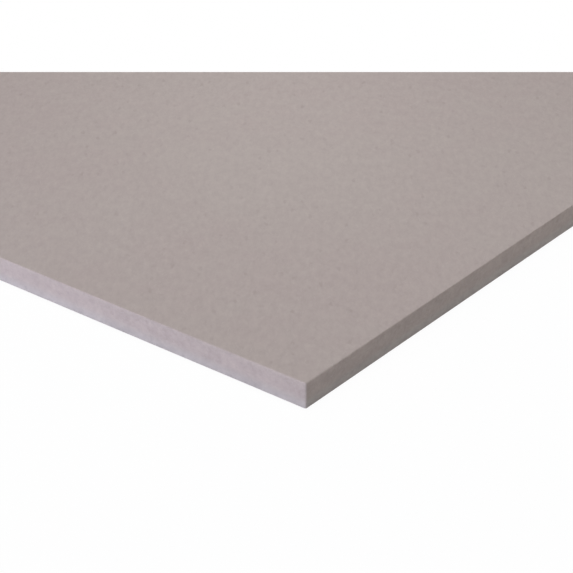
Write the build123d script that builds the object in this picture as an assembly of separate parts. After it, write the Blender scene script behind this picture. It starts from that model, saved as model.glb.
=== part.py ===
"""Natural fibre composite panel: one full sheet, pressed and sanded as a single piece, lying flat on its back face.

Frame: +X along the sheet's length, +Y across its width, +Z up out of the sanded face.
The origin is the middle of the back face, so the sheet rests on the plane Z = 0.
"""

import os

from build123d import *

# Driving dimensions, in millimetres
SHEET_LENGTH = 2440.0  # standard full sheet, along X
SHEET_WIDTH = 1220.0  # standard full sheet, along Y
SHEET_THICKNESS = 10.0  # finished thickness after sanding, along Z
ARRIS_RADIUS = 0.4  # every edge is eased by the same light sanding pass after sawing

PARTS_FOLDER = "parts"


def sawn_blank():
    """The sheet as it leaves the panel saw: a sharp-edged rectangle raised from the back face to its thickness."""
    outline = Rectangle(SHEET_LENGTH, SHEET_WIDTH)
    return extrude(outline, amount=SHEET_THICKNESS)


def eased_sheet():
    """The blank with its face rims and its four upright corners rounded, which meet in small ball corners."""
    blank = sawn_blank()
    return fillet(blank.edges(), ARRIS_RADIUS)


def main():
    os.makedirs(PARTS_FOLDER, exist_ok=True)
    composite_panel = eased_sheet()
    export_step(composite_panel, os.path.join(PARTS_FOLDER, "composite_panel.step"))


main()
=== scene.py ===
"""Natural fibre composite panel: the finished look of one full sheet, in the frame of its solid model.

The sheet lies on its back face, with +X along its length, +Y across its width and +Z out of the sanded
face. All lengths are metres, and the origin is the middle of the back face.
"""

import math

import bpy
import numpy as np
from bpy.props import FloatProperty, FloatVectorProperty, IntProperty, PointerProperty
from mathutils import Matrix, Vector


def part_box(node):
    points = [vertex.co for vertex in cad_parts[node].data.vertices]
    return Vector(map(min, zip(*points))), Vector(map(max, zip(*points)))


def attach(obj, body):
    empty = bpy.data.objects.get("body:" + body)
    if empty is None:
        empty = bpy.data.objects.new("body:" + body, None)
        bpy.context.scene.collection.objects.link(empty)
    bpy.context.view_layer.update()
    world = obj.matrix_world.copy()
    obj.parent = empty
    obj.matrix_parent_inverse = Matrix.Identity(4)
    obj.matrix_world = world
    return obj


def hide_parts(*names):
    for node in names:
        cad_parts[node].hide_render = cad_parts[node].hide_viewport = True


bl_info = {
    "name": "Fibre Composite Panel",
    "version": (1, 0, 0),
    "blender": (4, 5, 0),
    "location": "View3D > Sidebar > Fibre Panel",
    "description": "Builds one full sheet of sanded natural fibre composite, and a pale studio",
    "category": "Object",
}

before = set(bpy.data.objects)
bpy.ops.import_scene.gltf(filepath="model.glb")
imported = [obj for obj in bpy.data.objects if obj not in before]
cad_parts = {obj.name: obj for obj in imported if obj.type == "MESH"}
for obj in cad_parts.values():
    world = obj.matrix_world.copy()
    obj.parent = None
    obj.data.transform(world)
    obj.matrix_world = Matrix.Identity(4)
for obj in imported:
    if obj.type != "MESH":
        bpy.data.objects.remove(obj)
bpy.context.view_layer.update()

SHEET_NODE = "composite_panel"
SHEET_PIECE = "finished_sheet"
SHEET_LOW, SHEET_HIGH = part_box(SHEET_NODE)
NEAR_CORNER = Vector((SHEET_HIGH.x, SHEET_LOW.y, SHEET_LOW.z))  # the bottom corner nearest to the camera
BAKE_MAP = "OFBake"  # name of the flat map that baked colours are laid out on

WHITE = (1.0, 1.0, 1.0, 1.0)
NEUTRAL = (1.0, 1.0, 1.0)
FRAME_PIXELS = 573.0  # both sides of the picture
SENSOR_WIDTH = 36.0  # millimetres, the width that the lens length refers to

# Sizes of the patterns in the finish, where three numbers are along X, Y and Z
CLOUD_SIZE = 0.13
BLOTCH_SIZE = 0.014
MOTTLE_SIZE = 0.0024
GRAIN_SIZE = 0.0010
FIBRE_LENGTHS = (0.00045, 0.0055, 0.0005)
FIBRE_SPREADS = np.radians([-40.0, -14.0, 12.0, 38.0])  # turns of the four sets of fibres from the lay
SPECK_PITCH = 0.0034
BELT_LENGTHS = (0.09, 0.0007, 0.01)
FLECK_LENGTHS = (0.009, 0.009, 0.0032)
SCORE_PITCH = 0.0028
BOUNCE_TOP = 0.005  # height on the edges below which painted bounce light from the floor begins to lighten them
BOUNCE_FULL = 0.001  # height below which that painted bounce light is full
CRISPNESS = 0.6  # weight of each finer layer of noise in the grain and the scoring

# Shares of the patterns in the tone of the faces and of the edges, and in what else varies
FACE_TONE = {"cloud": 0.03, "blotch": 0.035, "mottle": 0.09, "grain": 0.08, "belt": 0.01}
EDGE_TONE = {"fleck": 0.11, "mottle": 0.11, "grain": 0.13, "scoring": 0.04}
TONE_DRIFT = {"cloud": 1.0, "blotch": 0.6}
DRIFT_SPAN = 0.5  # drift, either way, at which one of the two tones is reached
ROUGHENING = {"grain": 0.05, "blotch": 0.03, "sawn": 0.08}
RELIEF = {"grain": 0.6, "mottle": 0.4, "face_belt": 0.25, "edge_scoring": 0.9}


class SheetSizes(bpy.types.PropertyGroup):
    """Sizes of the eased edges and of the mesh that carries them."""

    corner_radius: FloatProperty(
        name="Corner radius",
        description="Largest radius of the easing, at the sheet's corners, where handling wears it most",
        default=0.00075,
        min=0.00005,
        precision=5,
        unit="LENGTH",
    )
    edge_radius: FloatProperty(
        name="Edge radius",
        description="Radius that light sanding leaves along the edges, well away from the corners",
        default=0.00035,
        min=0.00005,
        precision=5,
        unit="LENGTH",
    )
    back_radius: FloatProperty(
        name="Back radius",
        description="How high up the edges the easing of the back face reaches",
        default=0.0002,
        min=0.00005,
        precision=5,
        unit="LENGTH",
    )
    wear_reach: FloatProperty(
        name="Wear reach",
        description="Distance from a corner at which about a third of its extra wear is left",
        default=0.045,
        min=0.001,
        unit="LENGTH",
    )
    edge_wander: FloatProperty(
        name="Edge wander",
        description="Share of the edge radius that is missing where the sanding block pressed least",
        default=0.25,
        min=0.0,
        max=0.9,
        subtype="FACTOR",
    )
    wander_length: FloatProperty(
        name="Wander length",
        description="Distance along an edge over which the easing swells and thins once",
        default=0.17,
        min=0.05,
        unit="LENGTH",
    )
    arris_steps: IntProperty(
        name="Arris steps",
        description="Facets on each half of an eased edge",
        default=6,
        min=2,
        max=12,
    )
    rim_pitch: FloatProperty(
        name="Rim pitch",
        description="Width of the first facets beside an eased edge",
        default=0.0006,
        min=0.0002,
        precision=5,
        unit="LENGTH",
    )
    face_pitch: FloatProperty(
        name="Face pitch",
        description="Largest facet of the flat faces",
        default=0.02,
        min=0.005,
        unit="LENGTH",
    )


class SheetFinish(bpy.types.PropertyGroup):
    """Colours and surface of the sanded faces and the sawn edges."""

    sanded_colour: FloatVectorProperty(
        name="Sanded colour",
        description="Warm taupe of the sanded faces",
        default=(0.390, 0.331, 0.311, 1.0),
        size=4,
        min=0.0,
        max=1.0,
        subtype="COLOR",
    )
    drift_colour: FloatVectorProperty(
        name="Drift colour",
        description="Greyer tone that the sanded faces drift towards in broad clouds",
        default=(0.384, 0.333, 0.310, 1.0),
        size=4,
        min=0.0,
        max=1.0,
        subtype="COLOR",
    )
    sawn_colour: FloatVectorProperty(
        name="Sawn colour",
        description="Tone of the freshly sawn edges",
        default=(0.389, 0.331, 0.301, 1.0),
        size=4,
        min=0.0,
        max=1.0,
        subtype="COLOR",
    )
    # Painted bounce light from the floor: a lighter, bluer tone at the foot of the sawn edges
    painted_bounce_colour: FloatVectorProperty(
        name="Painted bounce colour",
        description="Greyer tone along the foot of the sawn edges",
        default=(0.398, 0.362, 0.338, 1.0),
        size=4,
        min=0.0,
        max=1.0,
        subtype="COLOR",
    )
    fibre_colour: FloatVectorProperty(
        name="Fibre colour",
        description="Short pale fibres that the sanding lays bare",
        default=(0.465, 0.41, 0.39, 1.0),
        size=4,
        min=0.0,
        max=1.0,
        subtype="COLOR",
    )
    fibre_share: FloatProperty(
        name="Fibre share",
        description="How far the pale fibres cover the tone under them",
        default=0.35,
        min=0.0,
        max=1.0,
        subtype="FACTOR",
    )
    speck_colour: FloatVectorProperty(
        name="Speck colour",
        description="Scattered dark plant specks",
        default=(0.245, 0.204, 0.190, 1.0),
        size=4,
        min=0.0,
        max=1.0,
        subtype="COLOR",
    )
    speck_share: FloatProperty(
        name="Speck share",
        description="How far the darkest specks cover the tone under them",
        default=0.24,
        min=0.0,
        max=1.0,
        subtype="FACTOR",
    )
    lay_angle: FloatProperty(
        name="Lay angle",
        description="Turn of the fibres' main direction from the sheet's width to its far left corner",
        default=math.radians(38.0),
        subtype="ANGLE",
    )
    lay_stretch: FloatProperty(
        name="Lay stretch",
        description="How many times longer the grain is along the fibres' main direction than across it",
        default=2.2,
        min=1.0,
    )
    roughness: FloatProperty(
        name="Roughness",
        description="Roughness of the sanded faces",
        default=0.78,
        min=0.0,
        max=1.0,
        subtype="FACTOR",
    )
    gloss: FloatProperty(
        name="Gloss",
        description="Specular level of the bare composite",
        default=0.3,
        min=0.0,
        max=1.0,
        subtype="FACTOR",
    )
    relief_depth: FloatProperty(
        name="Relief depth",
        description="Depth of the fine relief that the grain, the sanding and the saw leave",
        default=0.00006,
        min=0.0,
        precision=6,
        unit="LENGTH",
    )
    relief_strength: FloatProperty(
        name="Relief strength",
        description="How strongly the fine relief turns the light",
        default=0.35,
        min=0.0,
        max=1.0,
        subtype="FACTOR",
    )


class StageLook(bpy.types.PropertyGroup):
    """The pale floor, the soft light and the camera."""

    floor_colour: FloatVectorProperty(
        name="Floor colour",
        description="Pale studio floor",
        default=(0.86, 0.86, 0.87, 1.0),
        size=4,
        min=0.0,
        max=1.0,
        subtype="COLOR",
    )
    floor_white: FloatProperty(
        name="Floor white",
        description="Share of plain white in the floor as the camera sees it; the rest shows its shadows",
        default=0.96,
        min=0.0,
        max=1.0,
        subtype="FACTOR",
    )
    room_light: FloatProperty(
        name="Room light",
        description="Even light from all round, where 1 lights white to white",
        default=0.20,
        min=0.0,
    )
    overhead_light: FloatProperty(
        name="Overhead light",
        description="Light that the large soft box adds under it, where 1 lights white to white",
        default=0.684,
        min=0.0,
    )
    front_light: FloatProperty(
        name="Front light",
        description="Light that the wide cool soft box before the long edge throws at the near corner",
        default=0.690,
        min=0.0,
    )
    side_light: FloatProperty(
        name="Side light",
        description="Light that the small cool soft box low at the left throws at the near corner",
        default=0.214,
        min=0.0,
    )
    fill_light: FloatProperty(
        name="Fill light",
        description="Light that the small soft box low at the right throws at the near corner",
        default=0.026,
        min=0.0,
    )
    pool_light: FloatProperty(
        name="Pool light",
        description="Light that the soft spot adds amid its pool, where 1 lights white to white",
        default=0.130,
        min=0.0,
    )
    cool_colour: FloatVectorProperty(
        name="Cool colour",
        description="Cool tint of the soft boxes that light the long edge",
        default=(0.750, 0.779, 1.0),
        min=0.0,
        max=1.0,
        subtype="COLOR",
    )
    camera_lens: FloatProperty(
        name="Lens",
        description="Focal length in millimetres",
        default=130.14,
        min=10.0,
        unit="CAMERA",
    )
    camera_azimuth: FloatProperty(
        name="Azimuth",
        description="Turn of the camera about the sheet, from looking along +Y",
        default=math.radians(38.38),
        subtype="ANGLE",
    )
    camera_pitch: FloatProperty(
        name="Pitch",
        description="How far the camera looks down",
        default=math.radians(28.97),
        subtype="ANGLE",
    )
    corner_depth: FloatProperty(
        name="Corner depth",
        description="Distance of the near corner from the camera, along its line of sight",
        default=0.6963,
        min=0.1,
        unit="LENGTH",
    )
    corner_column: FloatProperty(
        name="Corner column",
        description="Column of the picture where the near bottom corner stands, in pixels",
        default=305.75,
        subtype="PIXEL",
    )
    corner_row: FloatProperty(
        name="Corner row",
        description="Row of the picture where the near bottom corner stands, in pixels",
        default=409.35,
        subtype="PIXEL",
    )
    cut_row: FloatProperty(
        name="Cut row",
        description="Row of the picture above which the sheet runs out of view, in pixels",
        default=72.0,
        subtype="PIXEL",
    )


class Wire:
    """A socket of a node tree: arithmetic on values adds Math nodes, and make() adds any other node."""

    def __init__(self, tree, socket=None):
        self.tree = tree
        self.socket = socket

    def make(self, kind, settings, sockets, *outputs):
        """Adds one node: settings first, then sockets by identifier, each a number, a colour or a Wire.

        Gives the named output, or a list of them where several are named.
        """
        node = self.tree.nodes.new("ShaderNode" + kind)
        for name, value in settings.items():
            setattr(node, name, value)
        inputs = {socket.identifier: socket for socket in node.inputs}
        for name, value in sockets.items():
            if isinstance(value, Wire):
                self.tree.links.new(value.socket, inputs[name])
            else:
                inputs[name].default_value = value
        found = {socket.identifier: socket for socket in node.outputs}
        wires = [Wire(self.tree, found[name]) for name in outputs]
        return wires[0] if len(wires) == 1 else wires

    def math(self, operation, first, second):
        """One Math node on two values, each a number or a Wire."""
        return self.make("Math", {"operation": operation}, {"Value": first, "Value_001": second}, "Value")

    def __add__(self, other):
        return self.math("ADD", self, other)

    def __radd__(self, other):
        return self.math("ADD", other, self)

    def __sub__(self, other):
        return self.math("SUBTRACT", self, other)

    def __rsub__(self, other):
        return self.math("SUBTRACT", other, self)

    def __mul__(self, other):
        return self.math("MULTIPLY", self, other)

    def __rmul__(self, other):
        return self.math("MULTIPLY", other, self)

    def __abs__(self):
        return self.math("ABSOLUTE", self, 0.0)

    def larger(self, other):
        """The larger of this value and another."""
        return self.math("MAXIMUM", self, other)

    def ramp(self, start, end):
        """Goes smoothly from 0 where the value is start to 1 where it is end."""
        sockets = {"Value": self, "From Min": start, "From Max": end}
        return self.make("MapRange", {"interpolation_type": "SMOOTHSTEP"}, sockets, "Result")

    def blend(self, first, second):
        """The first colour where this value is 0 and the second where it is 1; each is plain or a Wire."""
        sockets = {"Factor_Float": self, "A_Color": first, "B_Color": second}
        return self.make("Mix", {"data_type": "RGBA"}, sockets, "Result_Color")

    def scaled(self, factor):
        """This colour times a value."""
        sockets = {"Vector": self, "Scale": factor}
        return self.make("VectorMath", {"operation": "SCALE"}, sockets, "Vector")

    def stretched(self, lengths, turn=0.0):
        """These coordinates turned about Z, then counted in the given lengths along each axis."""
        sockets = {"Vector": self, "Rotation": (0.0, 0.0, turn)}
        turned = self.make("Mapping", {"vector_type": "POINT"}, sockets, "Vector")
        sockets = {"Vector": turned, "Vector_001": tuple(1.0 / length for length in lengths)}
        return self.make("VectorMath", {"operation": "MULTIPLY"}, sockets, "Vector")

    def noise(self, size=1.0, detail=2.0, roughness=0.5):
        """Soft noise about 0, between -1 and 1, with blotches of about the given size."""
        sockets = {"Vector": self, "Scale": 1.0 / size, "Detail": detail, "Roughness": roughness}
        found = self.make("TexNoise", {"noise_dimensions": "3D"}, sockets, "Fac")
        return (found - 0.5) * 2.0


def empty_tree(owner):
    """Clears the nodes of a material or a world, and gives a Wire that adds new ones."""
    owner.use_nodes = True
    owner.node_tree.nodes.clear()
    return Wire(owner.node_tree)


def placed(name, data):
    """A new object that holds the data, linked into the scene."""
    holder = bpy.data.objects.new(name, data)
    bpy.context.collection.objects.link(holder)
    return holder


def stations(half, sizes):
    """Places from -half to +half along one axis of the sharp box.

    Across the easing they stand where equal turns of its arc point at the box, radius * (1 - tan(turn))
    from the corner line for turns of 0 to 45 degrees. Further in, each step is a constant factor longer
    than the last, from the rim pitch up to the face pitch, and all are stretched a little to end in the
    middle.
    """
    growth = 1.6
    turns = np.linspace(0.0, math.pi / 4.0, sizes.arris_steps + 1)
    easing = half - sizes.corner_radius * (1.0 - np.tan(turns))
    flat = half - sizes.corner_radius
    most = int(flat / sizes.rim_pitch) + 1
    growing = math.ceil(math.log(sizes.face_pitch / sizes.rim_pitch, growth))
    steps = sizes.rim_pitch * growth ** np.minimum(np.arange(most), growing)
    reach = np.cumsum(np.minimum(steps, sizes.face_pitch))
    count = int(np.searchsorted(reach, flat)) + 1
    inner = flat - reach[:count] * flat / reach[count - 1]
    right_half = np.concatenate([inner[::-1], easing])
    right_half[0] = 0.0
    return np.concatenate([-right_half[:0:-1], right_half])


def box_lattice(axes):
    """Surface of a box cut by stations on its three axes: its points, its quads and the side of each quad.

    Every lattice place has one number, so sides that meet share it. A side is the slice of the numbered
    lattice at one end of an axis, and its quads join each place to the next ones along the two other axes.
    Sides are counted along X, then Y, then Z, the low end first.
    """
    shape = [len(axis) for axis in axes]
    numbers = np.arange(math.prod(shape)).reshape(shape)
    sides = []
    for axis in range(3):
        for end in (0, -1):
            face = np.take(numbers, end, axis=axis)
            quads = np.stack([face[:-1, :-1], face[1:, :-1], face[1:, 1:], face[:-1, 1:]], axis=-1)
            quads = quads.reshape(-1, 4)
            # As stacked, quads face up the X and Z axes and down the Y axis
            outward = (axis == 1) == (end == 0)
            sides.append(quads if outward else quads[:, ::-1])
    used, renumbered = np.unique(np.concatenate(sides), return_inverse=True)
    places = np.unravel_index(used, shape)
    points = np.stack([axis[place] for axis, place in zip(axes, places)], axis=-1)
    owner = np.repeat(np.arange(len(sides)), [len(side) for side in sides])
    return points, renumbered.reshape(-1, 4), owner


def easing_radii(points, half, sizes):
    """Radii of the easing near each point, along X, Y and Z.

    In plan it is the edge radius less a share of three slow waves, plus corner wear. The waves run across
    the sheet in three directions with unlike lengths, and have other phases above than below. The wear
    dies away exponentially with the distance along the edge from the nearest corner. In height the radius
    is the same above, and the back radius below.
    """
    above = points[:, 2:] > 0.0
    directions = np.radians([8.0, 84.0, 47.0])
    lengths = sizes.wander_length * np.array([1.0, 0.77, 1.62])
    phase_above = 1.7
    phases = np.array([0.4, 2.1, 4.4]) + phase_above * above
    run = points[:, :1] * np.cos(directions) + points[:, 1:2] * np.sin(directions)
    waves = 0.5 + 0.5 * np.sin(2.0 * math.pi * run / lengths + phases)
    sanded = sizes.edge_radius * (1.0 - sizes.edge_wander * waves.mean(axis=1, keepdims=True))
    from_corner = (half - np.abs(points))[:, :2].sum(axis=1, keepdims=True)
    wear = (sizes.corner_radius - sizes.edge_radius) * np.exp(-from_corner / sizes.wear_reach)
    plan = sanded + wear
    return np.hstack([plan, plan, np.where(above, plan, sizes.back_radius)])


def eased(points, half, radii):
    """Moves points of the sharp box on to the eased one, and gives the surface direction there.

    Each point goes to the nearest place of the box shrunk by the radii, then out again, towards where it
    was, on to an ellipsoid with those radii: flats stay, edges become arcs and corners become balls.
    """
    core = np.clip(points, radii - half, half - radii)
    out = (points - core) / radii
    out = out / np.linalg.norm(out, axis=1, keepdims=True)
    direction = out / radii
    return core + radii * out, direction / np.linalg.norm(direction, axis=1, keepdims=True)


def sheet_map(points, half, quads, owner):
    """Flat map of the sheet: both faces one above the other, then the edges as strips, drawn taller.

    A quad's corner lands at the start and row of its side plus its two coordinates in metres, where those
    up a strip are zoomed, and the whole is divided by the map's side.
    """
    edge_zoom = 3.0
    gap = 0.008
    _, width, thickness = 2.0 * half
    face = width + gap
    strip = thickness * edge_zoom + gap
    map_side = 2.0 * face + 3.0 * strip
    # One number for each side, in the lattice's order
    starts = np.array([0.0, face, 0.0, 0.0, 0.0, 0.0])
    rows = np.array([2, 2, 2, 2, 1, 0]) * face + np.array([2, 2, 0, 1, 0, 0]) * strip
    across = np.array([1, 1, 0, 0, 0, 0])
    upward = np.array([2, 2, 2, 2, 1, 1])
    zoom = np.where(upward == 2, edge_zoom, 1.0)
    corner = points[quads] + half
    side = owner[:, None, None]
    u = np.take_along_axis(corner, across[side], axis=2) + starts[side]
    v = np.take_along_axis(corner, upward[side], axis=2) * zoom[side] + rows[side]
    return (np.concatenate([u, v], axis=2) + gap / 2.0) / map_side


def sheet_mesh(sizes):
    """The closed mesh of the whole sheet, with exact surface directions and a flat map."""
    low = np.array(SHEET_LOW)
    high = np.array(SHEET_HIGH)
    half = (high - low) / 2.0
    middle = (high + low) / 2.0
    sharp, quads, owner = box_lattice([stations(side, sizes) for side in half])
    points, directions = eased(sharp, half, easing_radii(sharp, half, sizes))
    mesh = bpy.data.meshes.new(SHEET_PIECE)
    mesh.from_pydata(points + middle, [], quads)
    if mesh.validate():
        raise RuntimeError("the sheet's mesh has faulty faces")
    layer = mesh.uv_layers.new(name=BAKE_MAP)
    layer.data.foreach_set("uv", sheet_map(sharp, half, quads, owner).astype(np.float32).ravel())
    mesh.shade_smooth()
    mesh.normals_split_custom_set_from_vertices(directions)
    return mesh


def sawn_mask(x, y, sizes):
    """How far round the easing a point is: 0 on the flat faces and 1 on the sawn edges."""
    radius = sizes.edge_radius
    first_share = 0.1
    last_share = 0.9
    past_rim = (abs(x) - (SHEET_HIGH.x - radius)).larger(abs(y) - (SHEET_HIGH.y - radius))
    return past_rim.ramp(first_share * radius, last_share * radius)


def fibre_mask(place, lay_angle):
    """Short fibres in the sheet's plane: thin ridges of stretched noise, in directions about the lay."""
    faint = 0.30
    full = 0.60
    fibres = 0.0
    for spread in FIBRE_SPREADS:
        ridge = place.stretched(FIBRE_LENGTHS, spread - lay_angle).noise(detail=1.0)
        fibres = ridge.ramp(faint, full) + fibres
    return fibres


def speck_mask(place, grain):
    """Small dark specks: the middles of some random cells, frayed by the grain.

    The distance from a cell's middle, counted in pitches, fades each speck out from its core to its rim.
    The cell's own chance sets how dark it is, and cells with a small chance have no speck.
    """
    rim = 0.32
    core = 0.08
    fray = 0.2
    least_chance = 0.35
    settings = {"voronoi_dimensions": "3D", "feature": "F1"}
    sockets = {"Vector": place, "Scale": 1.0 / SPECK_PITCH}
    distance, cell = place.make("TexVoronoi", settings, sockets, "Distance", "Color")
    chance = place.make("SeparateColor", {}, {"Color": cell}, "Red")
    return (distance + grain * fray).ramp(rim, core) * chance.ramp(least_chance, 1.0)


def scored_lines(x, y, z):
    """Faint, nearly upright scoring that the saw leaves across an edge, uneven in pitch and strength.

    It is noise on a line along the edge. A share of the height leans it over, and a smaller share lets the
    lines change on their way up.
    """
    lean = 0.22
    change = 0.04
    along = x + y + z * lean
    line = along.make("CombineXYZ", {}, {"X": along, "Y": 0.0, "Z": z * change}, "Vector")
    return line.noise(SCORE_PITCH, roughness=CRISPNESS)


def sum_of_shares(base, patterns, shares):
    """The base value plus each named pattern times its share."""
    total = base
    for name, share in shares.items():
        total = total + patterns[name] * share
    return total


def fibre_material(finish, sizes):
    """Sanded natural fibre composite.

    The faces drift between two tones in clouds, and the sawn edges have a tone of their own, lighter and
    bluer at the foot as painted bounce light from the floor. The patterns make both lighter and darker,
    and pale fibres and dark specks lie over them.
    """
    material = bpy.data.materials.new("sanded_fibre_composite")
    start = empty_tree(material)
    place = start.make("TexCoord", {}, {}, "Object")
    x, y, z = start.make("SeparateXYZ", {}, {"Vector": place}, "X", "Y", "Z")
    lay = place.stretched((1.0, finish.lay_stretch, 1.0), -finish.lay_angle)

    sawn = sawn_mask(x, y, sizes)
    grain = lay.noise(GRAIN_SIZE, roughness=CRISPNESS)
    belt = place.stretched(BELT_LENGTHS).noise(detail=1.0)
    scoring = scored_lines(x, y, z)
    patterns = {
        "sawn": sawn,
        "cloud": place.noise(CLOUD_SIZE),
        "blotch": place.noise(BLOTCH_SIZE),
        "mottle": lay.noise(MOTTLE_SIZE),
        "grain": grain,
        "fleck": place.stretched(FLECK_LENGTHS).noise(),
        "belt": belt,
        "face_belt": belt * (1.0 - sawn),
        "scoring": scoring,
        "edge_scoring": scoring * sawn,
    }

    drift = sum_of_shares(0.0, patterns, TONE_DRIFT).ramp(-DRIFT_SPAN, DRIFT_SPAN)
    # Painted bounce light from the floor: the sawn edges turn lighter and bluer towards their foot
    painted_bounce = z.ramp(BOUNCE_TOP, BOUNCE_FULL)
    face = drift.blend(tuple(finish.sanded_colour), tuple(finish.drift_colour))
    edge = painted_bounce.blend(tuple(finish.sawn_colour), tuple(finish.painted_bounce_colour))
    face = face.scaled(sum_of_shares(1.0, patterns, FACE_TONE))
    edge = edge.scaled(sum_of_shares(1.0, patterns, EDGE_TONE))
    colour = sawn.blend(face, edge)
    fibres = fibre_mask(place, finish.lay_angle) * finish.fibre_share
    colour = fibres.blend(colour, tuple(finish.fibre_colour))
    specks = speck_mask(lay, grain) * finish.speck_share
    colour = specks.blend(colour, tuple(finish.speck_colour))

    relief = {
        "Height": sum_of_shares(0.0, patterns, RELIEF),
        "Strength": finish.relief_strength,
        "Distance": finish.relief_depth,
    }
    surface = {
        "Base Color": colour,
        "Roughness": sum_of_shares(finish.roughness, patterns, ROUGHENING),
        "Specular IOR Level": finish.gloss,
        "Normal": start.make("Bump", {}, relief, "Normal"),
    }
    shader = start.make("BsdfPrincipled", {}, surface, "BSDF")
    start.make("OutputMaterial", {}, {"Surface": shader})
    return material


def white_when_seen(start, plain, white, share):
    """Mixes a share of white into the plain shader for rays from the camera, a mirror or clear glass.

    Rays that carry soft light meet the plain shader alone.
    """
    kinds = ("Is Camera Ray", "Is Glossy Ray", "Is Transmission Ray")
    camera, glossy, clear = start.make("LightPath", {}, {}, *kinds)
    seen = camera.larger(glossy).larger(clear) * share
    return start.make("MixShader", {}, {"Fac": seen, "Shader": plain, "Shader_001": white}, "Shader")


def floor_material(look):
    """Matt pale floor that looks almost plain white and keeps its shadows."""
    material = bpy.data.materials.new("pale_floor")
    start = empty_tree(material)
    matt = start.make("BsdfDiffuse", {}, {"Color": tuple(look.floor_colour)}, "BSDF")
    white = start.make("Emission", {}, {"Color": WHITE, "Strength": 1.0}, "Emission")
    mixed = white_when_seen(start, matt, white, share=look.floor_white)
    start.make("OutputMaterial", {}, {"Surface": mixed})
    return material


def add_floor(look):
    """One very large quad just under the sheet's back face."""
    reach = 60.0
    below = 0.0002
    corners = np.array([[-1.0, -1.0], [1.0, -1.0], [1.0, 1.0], [-1.0, 1.0]]) * reach
    points = np.column_stack([corners, np.full(4, SHEET_LOW.z - below)])
    mesh = bpy.data.meshes.new("studio_floor")
    mesh.from_pydata(points, [], [(0, 1, 2, 3)])
    mesh.materials.append(floor_material(look))
    floor = placed("studio_floor", mesh)


def add_world(look):
    """Even room light, which looks plain white."""
    world = bpy.data.worlds.new("pale_room")
    start = empty_tree(world)
    room = start.make("Background", {}, {"Color": WHITE, "Strength": look.room_light}, "Background")
    white = start.make("Background", {}, {"Color": WHITE, "Strength": 1.0}, "Background")
    mixed = white_when_seen(start, room, white, share=1.0)
    start.make("OutputWorld", {}, {"Surface": mixed})
    bpy.context.scene.world = world


def heading(look):
    """The level direction in which the camera looks."""
    return Vector((-math.sin(look.camera_azimuth), math.cos(look.camera_azimuth), 0.0))


def add_lamp(lamp, place, target):
    """Hangs a lamp at a place, turned to a target and hidden from the camera."""
    holder = placed(lamp.name, lamp)
    holder.location = place
    holder.rotation_euler = (target - place).to_track_quat("-Z", "Y").to_euler()
    holder.visible_camera = False


def add_soft_box(name, place, target, size, level, colour):
    """A rectangular lamp that adds the given level of light at its target, where 1 lights white to white.

    Its power is the level times pi squared times the distance squared.
    """
    lamp = bpy.data.lights.new(name, "AREA")
    lamp.shape = "RECTANGLE"
    lamp.size, lamp.size_y = size
    lamp.energy = level * math.pi ** 2 * (target - place).length_squared
    lamp.color = colour
    add_lamp(lamp, place, target)


def add_pool(look):
    """A spot that lights a soft round pool on the sheet's face, from beyond it.

    Its power is the level times four pi squared times the distance squared, divided by the sine of its
    rise, because its light slants on to the face.
    """
    distance = 1.6
    rise = math.radians(38.0)
    middle = NEAR_CORNER + Vector((-0.147, 0.172, SHEET_HIGH.z - SHEET_LOW.z))
    towards_lamp = heading(look) * math.cos(rise) + Vector((0.0, 0.0, math.sin(rise)))
    lamp = bpy.data.lights.new("pool_spot", "SPOT")
    lamp.spot_size = math.radians(10.0)
    lamp.spot_blend = 1.0
    lamp.shadow_soft_size = 0.1
    lamp.energy = look.pool_light * 4.0 * math.pi ** 2 * distance ** 2 / math.sin(rise)
    add_lamp(lamp, middle + towards_lamp * distance, middle)


def add_lights(look):
    """A large soft box overhead, three lower ones turned to the near corner, and the pool."""
    overhead = Vector((0.5, -0.3, 7.0))
    overhead_size = (4.6, 3.4)
    under = Vector((overhead.x, overhead.y, SHEET_LOW.z))
    add_soft_box("overhead_box", overhead, under, overhead_size, look.overhead_light, NEUTRAL)
    # Place from the near corner, width and height, level of light, and colour
    corner_boxes = {
        "front_box": ((-0.22, -3.40, 0.60), (2.0, 0.8), look.front_light, look.cool_colour),
        "side_box": ((-0.24, -0.16, 0.028), (0.30, 0.045), look.side_light, look.cool_colour),
        "fill_box": ((0.15, 0.195, 0.05), (0.20, 0.06), look.fill_light, NEUTRAL),
    }
    for name, (offset, size, level, colour) in corner_boxes.items():
        add_soft_box(name, NEAR_CORNER + Vector(offset), NEAR_CORNER, size, level, colour)
    add_pool(look)


def add_camera(look):
    """The camera that sees the near bottom corner at its pixel, and loses the sheet above the cut row.

    It stands back from the corner along its own right, up and ahead, by the corner's depth and by the
    pixel's offsets from the middle of the picture at that depth. The far end of its sight is the depth at
    which the cut row meets the top face, which leaves a level edge there.
    """
    pitch = look.camera_pitch
    level = heading(look)
    ahead = level * math.cos(pitch) - Vector((0.0, 0.0, math.sin(pitch)))
    right = Vector((level.y, -level.x, 0.0))
    up = right.cross(ahead)
    focal = look.camera_lens / SENSOR_WIDTH * FRAME_PIXELS
    middle = FRAME_PIXELS / 2.0
    column = (look.corner_column - middle) / focal
    row = (look.corner_row - middle) / focal
    place = NEAR_CORNER - (ahead + right * column - up * row) * look.corner_depth
    fall = math.sin(pitch) + (look.cut_row - middle) / focal * math.cos(pitch)
    camera = bpy.data.cameras.new("photo_camera")
    camera.sensor_width = SENSOR_WIDTH
    camera.lens = look.camera_lens
    camera.clip_start = 0.01
    camera.clip_end = (place.z - SHEET_HIGH.z) / fall
    holder = placed("photo_camera", camera)
    holder.matrix_world = Matrix.Translation(place) @ Matrix((right, up, -ahead)).transposed().to_4x4()
    bpy.context.scene.camera = holder


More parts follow.
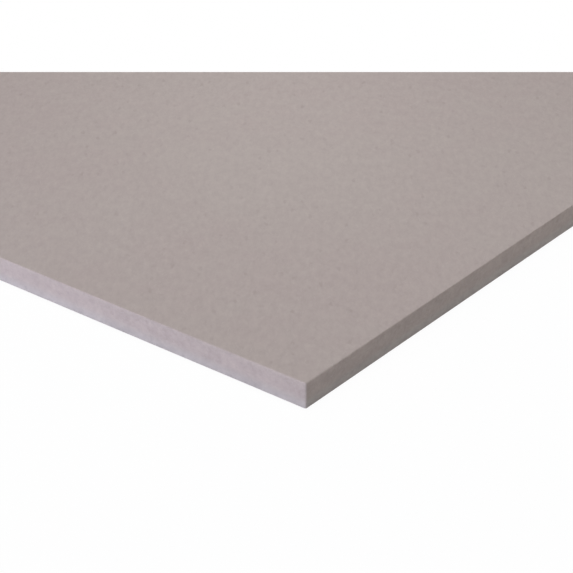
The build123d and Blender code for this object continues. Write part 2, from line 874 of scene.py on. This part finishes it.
class FIBREPANEL_OT_sheet(bpy.types.Operator):
    """Builds the full sheet with its eased edges and sanded finish in place of the plain solid"""

    bl_idname = "fibre_panel.sheet"
    bl_label = "Build Sheet"

    def execute(self, context):
        sizes = context.scene.fibre_panel_sizes
        mesh = sheet_mesh(sizes)
        mesh.materials.append(fibre_material(context.scene.fibre_panel_finish, sizes))
        sheet = placed(SHEET_PIECE, mesh)
        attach(sheet, "root")
        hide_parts(SHEET_NODE)
        return {"FINISHED"}


class FIBREPANEL_OT_stage(bpy.types.Operator):
    """Lays the pale floor and sets up the soft light and the camera"""

    bl_idname = "fibre_panel.stage"
    bl_label = "Set Stage"

    def execute(self, context):
        look = context.scene.fibre_panel_stage
        context.scene.view_settings.view_transform = "Standard"
        add_floor(look)
        add_world(look)
        add_lights(look)
        add_camera(look)
        return {"FINISHED"}


class FIBREPANEL_PT_sidebar(bpy.types.Panel):
    """Lists the sheet's sizes, finish and stage with the buttons that build them"""

    bl_label = "Fibre Panel"
    bl_idname = "FIBREPANEL_PT_sidebar"
    bl_space_type = "VIEW_3D"
    bl_region_type = "UI"
    bl_category = "Fibre Panel"

    def draw(self, context):
        scene = context.scene
        groups = (
            ("Sizes", scene.fibre_panel_sizes, None),
            ("Finish", scene.fibre_panel_finish, FIBREPANEL_OT_sheet.bl_idname),
            ("Stage", scene.fibre_panel_stage, FIBREPANEL_OT_stage.bl_idname),
        )
        for label, group, operator in groups:
            box = self.layout.box()
            box.label(text=label)
            for name in type(group).__annotations__:
                box.prop(group, name)
            if operator:
                box.operator(operator)


CLASSES = (
    SheetSizes,
    SheetFinish,
    StageLook,
    FIBREPANEL_OT_sheet,
    FIBREPANEL_OT_stage,
    FIBREPANEL_PT_sidebar,
)


def register():
    """Adds the classes, and one group of each kind to every scene."""
    for item in CLASSES:
        bpy.utils.register_class(item)
    bpy.types.Scene.fibre_panel_sizes = PointerProperty(type=SheetSizes)
    bpy.types.Scene.fibre_panel_finish = PointerProperty(type=SheetFinish)
    bpy.types.Scene.fibre_panel_stage = PointerProperty(type=StageLook)


def unregister():
    """Takes away what register() added."""
    del bpy.types.Scene.fibre_panel_stage
    del bpy.types.Scene.fibre_panel_finish
    del bpy.types.Scene.fibre_panel_sizes
    for item in reversed(CLASSES):
        bpy.utils.unregister_class(item)


def main():
    """Builds the sheet and its stage."""
    register()
    bpy.ops.fibre_panel.sheet()
    bpy.ops.fibre_panel.stage()


if __name__ == "__main__":
    main()
